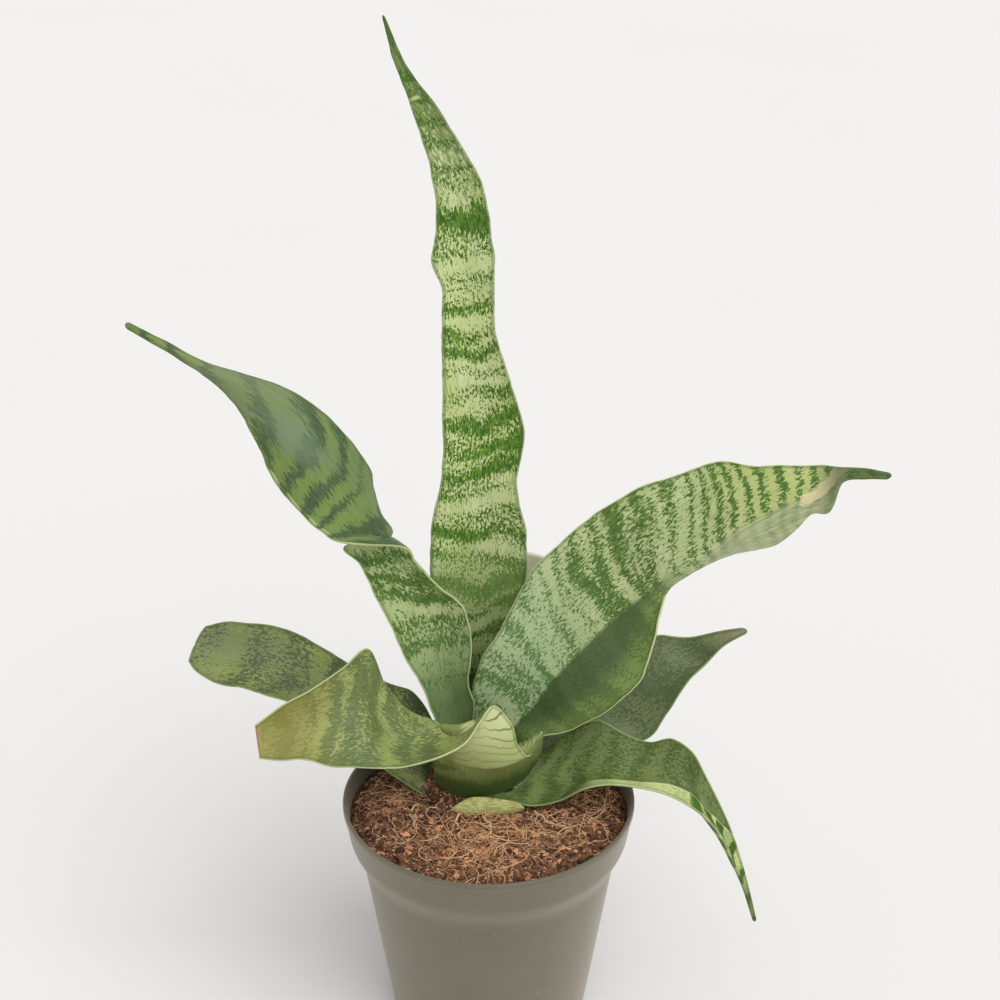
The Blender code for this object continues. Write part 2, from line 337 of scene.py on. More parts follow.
def turned(name, profile, segments, finish):
    turn = full_turn(segments)
    radius, height = profile[:, 0, None], profile[:, 1, None]
    level = np.repeat(height, segments, axis=1)
    rings = np.stack([radius * np.cos(turn), radius * np.sin(turn), level], 2)
    return new_object(name, rings.reshape(-1, 3), closed_faces(len(profile), segments), finish)


def drill(obj, holes, circle, radius, depth):
    for i in range(holes):
        angle = 2 * math.pi * i / holes
        spot = (circle * math.cos(angle) * MM, circle * math.sin(angle) * MM, 0)
        size = {"vertices": 48, "radius": radius * MM, "depth": depth * MM}
        bpy.ops.mesh.primitive_cylinder_add(location=spot, **size)
        cutter = bpy.context.object
        cut = obj.modifiers.new("drain", "BOOLEAN")
        cut.object = cutter
        bpy.context.view_layer.objects.active = obj
        bpy.ops.object.modifier_apply(modifier=cut.name)
        bpy.data.objects.remove(cutter, do_unlink=True)


pot = turned("nursery_pot", pot_profile, POT_SEGMENTS, plastic)
drill(pot, holes=6, circle=18.0, radius=4.0, depth=8.0)
pot.data.set_sharp_from_angle(angle=math.radians(50))
place(pot, ["pot"])
print("pot faces:", len(pot.data.polygons))

# %% [markdown]
# ## Potting mix
#
# Coir mix is a loose mat of brown crumbs and long, tan fibres. One bumpy body gives the ground, with
# its height from layered noise, and the crumbs and the fibres are laid over it as real geometry,
# because their shadows on each other are what makes the surface look loose.

# %% Ground of the mix
FIT = 0.25
SOIL_RINGS = 110
SOIL_SEGMENTS = 288
# Height of each size of lump, and how closely they sit.
LUMPS = ((1.1, 0.13), (0.7, 0.42), (0.35, 1.3))
HEAP_HEIGHT, HEAP_FORWARD, HEAP_SPREAD = 1.4, 4, 320
EDGE_START, EDGE_WIDTH, EDGE_DROP = 37.5, 5.5, 2.0
SUNK = 0.6
random = np.random.default_rng(11)


def inner_radius(height):
    heights = [0.0, BODY_TOP[1], COLLAR_FOOT[1], POT_TOP]
    radii = [BASE_RADIUS, BODY_TOP[0], COLLAR_FOOT[0], RIM_RADIUS]
    return float(np.interp(height, heights, radii)) - WALL - FIT


def ground_height(x, y):
    """Height of the mix: a slight heap round the crown, lumps, and a drop at the wall."""
    spot = Vector((x, y, 0.0))
    lumps = sum(height * noise.noise(spot * closeness) for height, closeness in LUMPS)
    from_heap = (x - CROWN[0]) ** 2 + (y - CROWN[1] + HEAP_FORWARD) ** 2
    heap = HEAP_HEIGHT * math.exp(-from_heap / HEAP_SPREAD)
    edge = EDGE_DROP * max(0.0, math.hypot(x, y) - EDGE_START) / EDGE_WIDTH
    return SOIL_TOP - SUNK + heap + lumps - edge


def mix_body(finish):
    points = [(0.0, 0.0, 0.0)]
    turn = full_turn(SOIL_SEGMENTS)
    for radius in np.linspace(0, inner_radius(SOIL_TOP), SOIL_RINGS + 1)[1:]:
        points += [(radius * math.cos(a), radius * math.sin(a), 0.0) for a in turn]
    points = [(x, y, ground_height(x, y)) for x, y, _ in points]
    for height in (COLLAR_FOOT[1], BODY_TOP[1], FLOOR + FIT):
        radius = inner_radius(height)
        points += [(radius * math.cos(a), radius * math.sin(a), height) for a in turn]
    faces = [(0, 1 + j, 1 + (j + 1) % SOIL_SEGMENTS) for j in range(SOIL_SEGMENTS)]
    faces += [face[::-1] for face in strip_faces(SOIL_RINGS + 3, SOIL_SEGMENTS, 1, closed=True)]
    last = 1 + (SOIL_RINGS + 2) * SOIL_SEGMENTS
    faces.append(tuple(last + j for j in range(SOIL_SEGMENTS))[::-1])
    return new_object("coir_mix", points, faces, finish)

# %% [markdown]
# The mix's colour runs from near-black in the hollows to rust brown on the crumbs. The crumbs and
# the fibres read a tone stored on their own points, so no two neighbours are quite alike.

# %% Finishes of the mix
def mix_finish():
    made, shader = new_material("coir ground", 0.95)
    where = object_place()
    clump = between(grain(where, 4.0, 0.65, 420.0), 0.35, 0.68)
    fine = grain(where, 4.0, 0.7, 1900.0)
    tone = blend_colours(clump, (0.02, 0.009, 0.006), (0.28, 0.11, 0.05))
    tone = blend_colours(between(fine, 0.55, 0.8), tone, (0.36, 0.2, 0.11))
    feed(shader.inputs["Base Color"], tone)
    raise_surface(shader, fine, 0.0006, 1.0)
    return made


def toned_finish(name, dark, light, roughness):
    """A finish whose colour runs from dark to light with the tone stored on each point."""
    made, shader = new_material(name, roughness)
    tone = add("ShaderNodeAttribute", {"attribute_name": "tone"})
    apart = add("ShaderNodeSeparateXYZ", Vector=tone.outputs["Vector"])
    mottle = grain(object_place(), 3.0, 0.6, 1500.0)
    share = scale_add(centred(mottle), 0.7, apart.outputs["X"])
    share = add("ShaderNodeClamp", Value=share).outputs[0]
    feed(shader.inputs["Base Color"], blend_colours(share, dark, light))
    raise_surface(shader, mottle, 0.0002, 0.8)
    return made


ground = mix_body(mix_finish())
place(ground, ["potting_mix", "rhizome"])
print("mix points:", len(ground.data.vertices))

# %% [markdown]
# ## Crumbs
#
# Each crumb is a squashed icosphere with its points pushed in and out at random, half sunk into the
# ground. Most are bark brown and a few are pale grit.

# %% Crumbs
CRUMBS = 3600
HEIGHT_ABOVE = 0.2
GRIT_SHARE = 0.05
# The mix is palest round one place: where it is, how far that reaches, and how much paler it is.
HEART, HEART_REACH, HEART_TONE = (-1, -22), 9, 0.5


def gathered(name, shapes, finish):
    """One object made of many small shapes, each given as its points, its faces and its tone."""
    points, faces, tones, start = [], [], [], 0
    for shape, shape_faces, tone in shapes:
        points.append(shape)
        faces += [tuple(start + k for k in face) for face in shape_faces]
        tones.append(np.full((len(shape), 3), tone))
        start += len(shape)
    obj = new_object(name, np.concatenate(points), faces, finish)
    point_values(obj, "tone", np.concatenate(tones))
    place(obj, [])
    return obj


def crumb_shape():
    work = bmesh.new()
    bmesh.ops.create_icosphere(work, subdivisions=1, radius=1.0)
    points = np.array([vert.co for vert in work.verts])
    faces = [tuple(vert.index for vert in face.verts) for face in work.faces]
    work.free()
    return points, faces


def scatter_spot(margin):
    """An even random place on the mix, kept a margin clear of the wall."""
    radius = (RIM_RADIUS - WALL - margin) * math.sqrt(random.random())
    angle = random.random() * 2 * math.pi
    return radius * math.cos(angle), radius * math.sin(angle)


def crumb_shapes():
    shape, faces = crumb_shape()
    for _ in range(CRUMBS):
        x, y = scatter_spot(2.5)
        size = random.uniform(0.35, 1.0) * random.choice([0.7, 1.0, 1.6], p=[0.6, 0.33, 0.07])
        squash = random.uniform(0.5, 1.0, 3) * (1.3, 0.9, 0.7)
        bump = 1 + 0.35 * random.standard_normal(len(shape))
        angle = random.random() * math.pi
        turn = np.array([[math.cos(angle), -math.sin(angle)], [math.sin(angle), math.cos(angle)]])
        crumb = shape * bump[:, None] * size * squash
        crumb[:, :2] = crumb[:, :2] @ turn
        if random.random() > GRIT_SHARE:
            tone = 0.8 * random.random() ** 1.5
        else:
            tone = random.uniform(0.9, 1.4)
        from_heart = math.hypot(x - HEART[0], y - HEART[1])
        tone += HEART_TONE * math.exp(-from_heart / HEART_REACH)
        yield crumb + (x, y, ground_height(x, y) + HEIGHT_ABOVE * size), faces, tone


crumb_finish = toned_finish("bark crumbs", (0.045, 0.016, 0.008), (0.72, 0.36, 0.18), 0.9)
crumbs = gathered("mix_crumbs", crumb_shapes(), crumb_finish)
crumbs.data.shade_flat()
print("crumbs:", CRUMBS)

# %% [markdown]
# ## Coir fibres
#
# A fibre is a thin tube whose path turns a little at each step, so it curls as real coir does. It
# follows the ground and lifts off it in the middle. A curve object with a bevel would do for one, but
# for many hundreds it is far lighter to write the rings of all of them into one mesh.

# %% Tubes and fibres
# Tufts of fibres: where each is, and how far it spreads.
TUFTS = ((-12, -22, 8), (24, -8, 10), (-29, -1, 8), (7, -13, 6), (-3, -30, 7), (34, 6, 6))
BARE_SHARE = 0.06
FIBRE_STEPS, FIBRE_SIDES = 12, 5


def tube(path, radii, sides):
    """Points and faces of a tube along a path, with a cap on either end."""
    path = np.asarray(path, float)
    along = np.gradient(path, axis=0)
    along /= np.linalg.norm(along, axis=1, keepdims=True)
    side = np.cross(along, (0.0, 0.0, 1.0))
    side /= np.linalg.norm(side, axis=1, keepdims=True) + 1e-9
    up = np.cross(side, along)
    turn = full_turn(sides)
    ring = np.cos(turn)[None, :, None] * side[:, None] + np.sin(turn)[None, :, None] * up[:, None]
    points = path[:, None] + ring * np.asarray(radii)[:, None, None]
    return points.reshape(-1, 3), [face[::-1] for face in closed_faces(len(path), sides)]


def tuft_share(x, y):
    """How likely a fibre is here: they are teased out in a few tufts."""
    away = (((x - a) ** 2 + (y - b) ** 2) / (2 * r * r) for a, b, r in TUFTS)
    return BARE_SHARE + sum(math.exp(-distance) for distance in away)


def curl_path(length, curl):
    """A flat random walk that keeps turning the same way for a while."""
    x, y = scatter_spot(1.5)
    while random.random() > tuft_share(x, y):
        x, y = scatter_spot(1.5)
    heading = random.random() * 2 * math.pi
    bend = random.normal(0, curl)
    path = []
    lift = random.uniform(0.2, 2.2) * random.random()
    for i in range(FIBRE_STEPS):
        height = ground_height(x, y) + 0.25 + lift * math.sin(math.pi * i / (FIBRE_STEPS - 1))
        path.append((x, y, height))
        heading += bend + random.normal(0, 0.12)
        bend += random.normal(0, 0.06)
        x += math.cos(heading) * length / FIBRE_STEPS
        y += math.sin(heading) * length / FIBRE_STEPS
    return path


def fibre_shapes(count, lengths, thickness, curl, tones):
    taper = 1 - 0.6 * np.linspace(0, 1, FIBRE_STEPS) ** 2
    while count:
        path = curl_path(random.uniform(*lengths), curl)
        if max(math.hypot(x, y) for x, y, _ in path) > RIM_RADIUS - WALL - 0.6:
            continue
        points, faces = tube(path, random.uniform(*thickness) * taper, FIBRE_SIDES)
        yield points, faces, random.uniform(*tones)
        count -= 1


fibre_finish = toned_finish("coir fibre", (0.2, 0.065, 0.022), (1.0, 0.63, 0.34), 0.75)
for name, kind in (
    ("coir_fibres_fine", (760, (3, 11), (0.04, 0.09), 0.24, (0.1, 1.1))),
    ("coir_fibres_long", (90, (10, 22), (0.07, 0.13), 0.2, (0.6, 1.3))),
):
    fibres = gathered(name, fibre_shapes(*kind), fibre_finish)
    print(name, "faces:", len(fibres.data.polygons))

# %% [markdown]
# ## How a leaf is drawn
#
# A snake plant's leaf is a thick, stiff strap with a channel along it. It could be modelled on a flat
# grid and bent with modifiers, but these leaves also twist, fold and arch, so it is easier to draw
# three lines up the leaf: the left margin, the right margin and the rib. Stations hold a point of
# each, with heights counted from the mix. Where the rib simply lies behind the middle of the
# margins, the channel's depth stands in its place. The first station lies on the round crown, so it
# is a radius, two bearings and a depth.

# %% Smooth lines through stations
def smooth_curve(knots, values, places):
    """A smooth curve through values at the knots, read at the places."""
    slopes = np.gradient(values, knots, axis=0)
    span = np.clip(np.searchsorted(knots, places, side="right") - 1, 0, len(knots) - 2)
    width = knots[span + 1] - knots[span]
    t = ((places - knots[span]) / width)[:, None]
    rise, fall = slopes[span] * width[:, None], slopes[span + 1] * width[:, None]
    eased = values[span] * (2 * t**3 - 3 * t**2 + 1) + values[span + 1] * (3 * t**2 - 2 * t**3)
    return eased + rise * (t**3 - 2 * t**2 + t) + fall * (t**3 - t**2)


def unit(vectors):
    return vectors / (np.linalg.norm(vectors, axis=-1, keepdims=True) + 1e-12)


def crown_arc(radius, left_bearing, right_bearing, depth):
    """Where a leaf leaves the crown, a little below the surface of the mix."""
    ends = np.radians([left_bearing, right_bearing])
    left, right = (CROWN[0] + radius * np.cos(ends), CROWN[1] + radius * np.sin(ends))
    return (left[0], right[0], -3.0), (left[1], right[1], -3.0), depth


def guide_lines(stations, round_end, step=1.0):
    """Left margin, rib and right margin as dense lines, and the distance along the leaf."""
    stations = [crown_arc(*stations[0]), *stations[1:]]
    left, right, drawn = zip(*stations)
    left, right = np.array(left, float), np.array(right, float)
    middle = (left + right) / 2
    behind = unit(np.cross(right - left, np.gradient(middle, axis=0)))
    rows = zip(middle, behind, drawn)
    rib = np.array([m - b * d if np.isscalar(d) else d for m, b, d in rows], float)
    centre = (left + right + 2 * rib) / 4
    knots = np.concatenate([[0.0], np.cumsum(np.linalg.norm(np.diff(centre, axis=0), axis=1))])
    places = np.linspace(0.0, knots[-1] - round_end, int(knots[-1] / step) + 1)
    if round_end:
        turn = np.linspace(0, math.pi / 2, 8)[1:]
        places = np.concatenate([places, knots[-1] - round_end * (1 - np.sin(turn))])
    return [smooth_curve(knots, line, places) for line in (left, rib, right)], places


print("the crown's centre in mm:", np.round(CROWN, 1))

# %% [markdown]
# The blade between the lines is a parabola through the three points of each row. A crease pulls it
# towards two straight halves. Noise then lets the margins wander and the face swell a little, since
# no real margin is a perfect curve. A front and a back skin are laid half a thickness either side,
# and the thickness fades to a thin, rounded edge.

# %% Leaf mesh
COLUMNS = 33
RIB_THICKNESS = 2.0
EDGE_THICKNESS = 0.75
TIP_THICKNESS = 0.8
SWELL = 0.25
# The margin's round and its last thinness in mm, and the share of the width that the body takes up.
EDGE_ROUND, THINNEST, BODY_SHARE = 0.35, 0.02, 0.25


def wander(places, seed, size, pitch):
    """A smooth, uneven offset along the leaf."""
    return np.array([noise.noise(Vector((seed * 7.3, p / pitch, 1.7))) for p in places]) * size


def blade_rows(stations, seed, crease, ripple, round_end):
    (left, rib, right), places = guide_lines(stations, round_end)
    fade = np.clip(places / 25, 0, 1) * np.clip((places[-1] - places) / 12, 0, 1)
    across = unit(right - left)
    for line, sign, shift in ((left, -1, 0.0), (right, 1, 5.0)):
        slow = wander(places, seed + shift, ripple, 9)
        wave = slow + wander(places, seed + shift + 2, 0.5 * ripple, 3.5)
        line += across * (sign * wave * fade)[:, None]
    from_end = np.clip((places[-1] - places) / (round_end + 1e-6), 0, 1)
    close = np.clip(np.sqrt(1 - (1 - from_end) ** 2), 0.06, 1)[:, None] if round_end else 1.0
    left, right = rib + (left - rib) * close, rib + (right - rib) * close
    t = (1 - np.cos(np.linspace(0, math.pi, COLUMNS)))[None, :, None] / 2
    left, rib, right = left[:, None], rib[:, None], right[:, None]
    arc = left * (1 - t) * (1 - 2 * t) + 4 * rib * t * (1 - t) + right * t * (2 * t - 1)
    straight = np.where(t < 0.5, left + (rib - left) * 2 * t, rib + (right - rib) * (2 * t - 1))
    return arc * (1 - crease) + straight * crease, places


def both_skins(front, back):
    """Values of the front skin and then of the back, in the order of the loop that they make."""
    return np.concatenate([front, back[:, -2:0:-1]], axis=1)


def leaf_mesh(name, stations, finish, seed, crease=0.0, ripple=0.5, round_end=1.3):
    """A closed leaf whose points carry their place on the blade and on which face they lie."""
    middle, places = blade_rows(stations, seed, crease, ripple, round_end)
    rows = len(places)
    normals = unit(np.cross(np.gradient(middle, axis=1), np.gradient(middle, axis=0)))
    widths = np.linalg.norm(np.diff(middle, axis=1), axis=2)
    reach = np.concatenate([np.zeros((rows, 1)), np.cumsum(widths, axis=1)], axis=1)
    from_edge = np.minimum(reach, reach[:, -1:] - reach)
    from_rib = reach - reach[:, COLUMNS // 2][:, None]
    share = np.clip(places / places[-1], 0, 1)[:, None]
    rib_half = (RIB_THICKNESS * (1 - share**3) + TIP_THICKNESS * share**3) / 2
    body = np.clip(from_edge / (BODY_SHARE * reach[:, -1:] + 1e-6), 0, 1)
    half = np.minimum(EDGE_THICKNESS / 2, rib_half)
    half = half + np.maximum(rib_half - EDGE_THICKNESS / 2, 0) * body
    half = half * np.sqrt(np.clip(from_edge / EDGE_ROUND, 0, 1)) + THINNEST
    shift = Vector((seed, 0, 0))
    lumps = [[noise.noise(Vector(point) * 0.11 + shift) for point in row] for row in middle]
    lumps = np.array(lumps) * SWELL * np.clip(from_edge / 3, 0, 1)
    middle = middle + normals * lumps[..., None]
    middle[..., 2] += SOIL_TOP
    front, back = middle + normals * half[..., None], middle - normals * half[..., None]
    loop = both_skins(front, back)
    width = loop.shape[1]
    obj = new_object(name, loop.reshape(-1, 3), closed_faces(rows, width), finish)
    along = np.repeat(places[:, None], width, axis=1)
    from_rib, from_edge = (both_skins(value, value) for value in (from_rib, from_edge))
    point_values(obj, "blade", np.stack([from_rib, along, from_edge], 2) * MM)
    side = np.ones((rows, width))
    side[:, COLUMNS:] = 0.0
    side[:, [0, COLUMNS - 1]] = 0.5
    to_tip = (places[-1] - along) * MM
    point_values(obj, "face", np.stack([side, to_tip, np.zeros_like(side)], 2))
    return obj


print("points in each row of a leaf:", 2 * COLUMNS - 2)

# %% [markdown]
# ## Leaf finish
#
# The bands of a snake plant are not painted stripes. Dark cells gather in cross bands about a
# centimetre apart, and at their edges they break into short streaks along the veins. A sine along
# the leaf sets the spacing. The place it reads is first pushed about, slowly by one noise and
# quickly, in narrow columns, by another. Uneven patches and fine speckles are added before the cut
# between dark and light, so that some bands are solid and others dissolve.

# %% Bands
def shown(red, green, blue):
    """A colour given as it looks on screen, 0 to 255, as the linear values the shader needs."""
    levels = [value / 255 for value in (red, green, blue)]
    return tuple(v / 12.92 if v <= 0.04045 else ((v + 0.055) / 1.055) ** 2.4 for v in levels)


# How far a band wanders and how long the streaks at its edges are, in metres.
DRIFT, STREAK = 0.022, 0.0105
# Over this length beyond its start, the outer part of a leaf takes over.
TAKE_OVER = 0.025
UNEVENNESS = 1.15


def band_values(at, pitch, chevron, even, outer):
    """Values that are high in the dark bands, about 0.5 at their edges: smooth, then speckled."""
    # Beyond the start, bands lean back, crowd together, run askew and grow steady.
    start, lean, crowd, skew, steady = outer
    spot, across, along = at.spot, at.across, at.along
    beyond = maths("MAXIMUM", maths("SUBTRACT", along, start), 0.0)
    turned_over = between(beyond, 0.0, TAKE_OVER)
    chevron = scale_add(turned_over, lean, chevron)
    along = scale_add(beyond, crowd, along)
    along = maths("ADD", product(turned_over, skew, across), along)
    drift = centred(grain(stretched(spot, 45, 28, 1), 2.0))
    teeth = centred(grain(stretched(spot, 2000, 260, 1), 4.0, 0.65))
    bowed = scale_add(maths("ABSOLUTE", across), chevron, along)
    moved = scale_add(drift, DRIFT, bowed)
    moved = scale_add(teeth, STREAK, moved)
    wave = maths("SINE", product(moved, 2 * math.pi / pitch))
    read = add("ShaderNodeCombineXYZ", X=across, Y=moved).outputs[0]
    apart = add("ShaderNodeVectorMath", _0=read, _1=(0, 0, pitch * 900)).outputs[0]
    uneven = centred(grain(stretched(apart, 22, 0.8 / pitch, 1), 2.0, 0.5))
    speckle = centred(grain(stretched(spot, 1500, 800, 1), 3.0, 0.68))
    patches = between(grain(stretched(spot, 75, 50, 2), 1.0), 0.38, 0.62)
    weight = scale_add(patches, 1.0, 1.2)
    steady = product(turned_over, steady)
    smooth = scale_add(wave, scale_add(steady, 0.22, even), scale_add(steady, -0.1, 0.5))
    smooth = scale_add(uneven, scale_add(steady, -0.8, UNEVENNESS), smooth)
    return smooth, scale_add(speckle, weight, smooth)


print("a mid grey on screen is", round(shown(128, 128, 128)[0], 3), "to the shader")

# %% [markdown]
# One function makes the finish of every leaf. It takes the light and the dark tone of the front and
# of the back, since the back wears the same bands under a dull bloom. A leaf's own marks, such as a
# dry end, are painted by a function handed in, which gets the leaf's places by name.

# %% Leaf finish
PALE_LINE = shown(206, 214, 160)
VEIN_DARK = shown(70, 100, 42)


def leaf_places(seed):
    """Where a point lies on its leaf, as sockets in metres."""
    blade = add("ShaderNodeAttribute", {"attribute_name": "blade"}).outputs["Vector"]
    face = add("ShaderNodeAttribute", {"attribute_name": "face"}).outputs["Vector"]
    across, along, edge = add("ShaderNodeSeparateXYZ", Vector=blade).outputs
    side, to_tip = add("ShaderNodeSeparateXYZ", Vector=face).outputs[:2]
    spot = add("ShaderNodeCombineXYZ", X=across, Y=along, Z=seed).outputs[0]
    return SimpleNamespace(
        across=across, along=along, edge=edge, side=side, to_tip=to_tip, spot=spot
    )


def leaf_finish(
    name, seed, front, back, pitch=0.008, chevron=-0.35, cover=0.48, even=0.12,
    outer=(1, 0, 0, 0, 0), margin=0.6, marks=None,
):
    made, shader = new_material(name, 0.45)
    shader.inputs["Specular IOR Level"].default_value = 0.3
    at = leaf_places(seed)
    smooth, speckled = band_values(at, pitch, chevron, even, outer)
    crisp = between(speckled, cover - 0.03, cover + 0.05)
    soft = between(smooth, cover - 0.09, cover + 0.10)
    at.dark = add("ShaderNodeMix", _0=at.side, _2=soft, _3=crisp).outputs[0]
    at.cloud = grain(stretched(at.spot, 80, 40, 1), 3.0)
    at.veins = grain(stretched(at.spot, 3000, 70, 1), 3.0, 0.6)
    at.fine = grain(stretched(at.spot, 1600, 450, 3), 3.0, 0.65)
    tones = []
    for skin in (back, front):
        light, dark, light_too, dark_too = (shown(*colour) for colour in skin)
        light = blend_colours(between(at.cloud, 0.3, 0.8), light, light_too)
        light = blend_colours(between(at.veins, 0.52, 0.8), light, VEIN_DARK)
        deep = blend_colours(between(at.fine, 0.4, 0.62), dark, dark_too)
        tones.append(blend_colours(at.dark, light, deep))
    at.front = tones[1]
    tone = blend_colours(at.side, *tones)
    if marks:
        tone = marks(tone, at)
    half_width = maths("ADD", maths("ABSOLUTE", at.across), at.edge)
    wide = between(half_width, 0.002, 0.006)
    tone = paint(tone, VEIN_DARK, falls(at.edge, 0.0005, 0.0013), 0.5)
    line = falls(at.edge, 0.00012, 0.0003)
    tone = paint(tone, PALE_LINE, line, margin, wide)
    feed(shader.inputs["Base Color"], tone)
    feed(shader.inputs["Roughness"], scale_add(at.cloud, 0.22, 0.34))
    raise_surface(shader, scale_add(at.veins, 0.5, at.cloud), 0.0005, 0.8)
    return made


# Each skin's light and dark tone, and a second one of each for it to drift towards.
VIVID = ((208, 217, 160), (52, 92, 8), (186, 202, 126), (100, 142, 40))
BROAD = ((192, 203, 148), (64, 98, 32), (168, 186, 124), (98, 130, 58))
DULL = ((118, 140, 70), (62, 86, 48), (112, 128, 94), (80, 100, 66))
OLIVE = ((158, 168, 98), (90, 108, 62), (140, 150, 88), (112, 124, 72))
LOW = ((146, 156, 84), (82, 98, 62), (122, 132, 90), (92, 102, 74))
GREY = ((124, 136, 90), (84, 102, 64), (116, 124, 96), (96, 108, 76))
DROOP = ((122, 138, 76), (70, 90, 38), (112, 126, 80), (92, 108, 58))
print("light tone of the tall leaf:", [round(v, 3) for v in shown(*VIVID[0])])

# %% [markdown]
# ## The tall centre leaf
#
# It stands almost straight, leans back a little and ends in a thin, curved point. Its margins pinch
# in at a few places, as they do where a leaf was held tight by its neighbours when it was young.

# %% Tall leaf
def add_leaf(name, node, stations, finish, **shape):
    leaf = leaf_mesh(name, stations, finish, **shape)
    place(leaf, [node])
    print(name, "faces:", len(leaf.data.polygons))


tall = [
    (11, 145, 45, 4.5),
    ((-12, 19, 13), (3.5, 20, 12.5), 5.5), ((-16, 19, 44.5), (9, 20, 44.5), 6),
    ((-17.5, 18, 69.5), (11.5, 19, 70), 5.5), ((-17, 18, 86.5), (11, 19, 86), 5),
    ((-14, 17, 103), (8.5, 18, 102), 4), ((-13, 17, 119.5), (10.5, 18, 119.5), 4.5),
    ((-13, 16, 134.5), (7, 17, 134), 4), ((-13, 15, 151), (2.5, 16, 150.5), 3),
    ((-13, 15, 163.5), (2, 15, 165), 3), ((-15.5, 14, 172.5), (2, 14, 174.5), 2.5),
    ((-14, 14, 182), (1, 14, 182), 2.5), ((-15, 13, 196), (-2, 13, 196), 2.2),
    ((-19, 11, 214), (-11.5, 11, 214), 1.5), ((-24.5, 9, 230.5), (-22, 9, 230), 0.8),
    ((-27, 7, 242), (-26.5, 7, 242), 0.2),
]


def tall_marks(tone, at):
    """Deep green at the foot, partly its own colour and partly painted shade, and towards the tip,
    with a small pale scar near it.
    """
    plain = where_between(at.along, 0.052, 0.078, 0.012)
    tone = paint(tone, shown(130, 156, 88), plain, 0.5)
    # The foot's deep green is partly the leaf's own colour and partly painted shade from the leaves
    # around it.
    tone = paint(tone, shown(60, 88, 40), falls(at.along, 0.03, 0.055), 0.75)
    mottled = scale_add(centred(at.fine), -0.16, at.to_tip)
    tone = paint(tone, shown(76, 110, 40), falls(mottled, 0.03, 0.058), 0.7)
    bent = scale_add(at.across, 0.25, at.to_tip)
    scar = where_between(bent, 0.0240, 0.0250, 0.0003)
    return paint(tone, PALE_LINE, scar, falls(at.across, -0.0004, 0.0014), 0.8)


tall_finish = leaf_finish("tall leaf", 3.1, VIVID, DULL, cover=0.5, margin=0.3, marks=tall_marks)
add_leaf("leaf_tall", "leaf_centre_tall", tall, tall_finish, seed=1)

# %% [markdown]
# ## The twisted left leaf
#
# Half way up, this leaf turns over: the right margin swings across in front and the dull back of the
# leaf shows from there on. The stations simply let the two margins change places.

# %% Twisted leaf
twisted = [
    (7, 235, 124, 3.0),
    ((-16, 9, 24.5), (-4.5, 14, 27.5), 4), ((-20, 8, 36.5), (-6, 12, 38), 4.5),
    ((-25, 8, 47.5), (-5, 11, 51), 5), ((-29.5, 8, 59.5), (-7.5, 10, 64.5), 5),
    ((-34, 8, 70.5), (-14, 9, 71.5), 5), ((-38, 8, 80.5), (-21.5, 7, 81.5), 4.5),
    ((-41, 11, 85), (-26.5, 2, 89.5), 3.5), ((-33, 15, 84), (-33, -4, 93), 2.5),
    ((-28.5, 13.5, 87.5), (-41.5, -6, 95), 2.5), ((-31.6, 11, 96), (-47, -6, 98), 3),
    ((-33, 10, 104.5), (-50.5, -6, 101), 3),
    ((-34, 7, 112.5), (-59.5, -6, 113.5), 3.5), ((-39, 4, 122.5), (-63.5, -6, 124), 3.5),
    ((-45.5, 2, 131.5), (-66, -6, 130.5), 3), ((-56.5, 0, 140.5), (-69.5, -6, 137.5), 2.5),
    ((-68, -3, 146), (-75, -6.5, 144.5), 2), ((-76, -5, 149.5), (-80.5, -7, 149.5), 1.5),
    ((-89, -7, 158), (-90.5, -8, 157), 0.8), ((-97, -9, 164), (-97.5, -9, 162), 0.3),
]


def twisted_marks(tone, at):
    """A deep foot, a fresh edge where the front rolls into view, a grey neck and a dry end."""
    lip = product(
        between(at.across, 0.001, 0.002),
        falls(at.edge, 0.0011, 0.0017),
        where_between(at.along, 0.108, 0.15, 0.006),
    )
    tone = paint(tone, at.front, lip, 0.8)
    tone = paint(tone, shown(88, 118, 72), falls(at.along, 0.03, 0.075), 0.8)
    bloom = product(
        where_between(at.across, -0.004, 0.006, 0.004),
        where_between(at.along, 0.125, 0.155, 0.012),
        between(at.cloud, 0.3, 0.6),
    )
    tone = paint(tone, shown(124, 142, 112), bloom, 0.5)
    tone = paint(tone, shown(122, 132, 104), where_between(at.to_tip, 0.02, 0.045, 0.012), 0.5)
    return paint(tone, shown(150, 134, 92), falls(at.to_tip, 0.0005, 0.0015))


twisted_finish = leaf_finish(
    "twisted leaf", 8.4, BROAD, DULL, pitch=0.0085, cover=0.52,
    outer=(0.1, 0.35, -0.35, 0.85, 0.3), marks=twisted_marks
)
add_leaf("leaf_twisted", "leaf_left_twisted", twisted, twisted_finish, seed=2)

# %% [markdown]
# ## The arching right leaf
#
# The broadest leaf is folded along its rib. Its rib is drawn point by point, because the right half
# first faces the light, then turns edge-on, and further out curls under the left half.

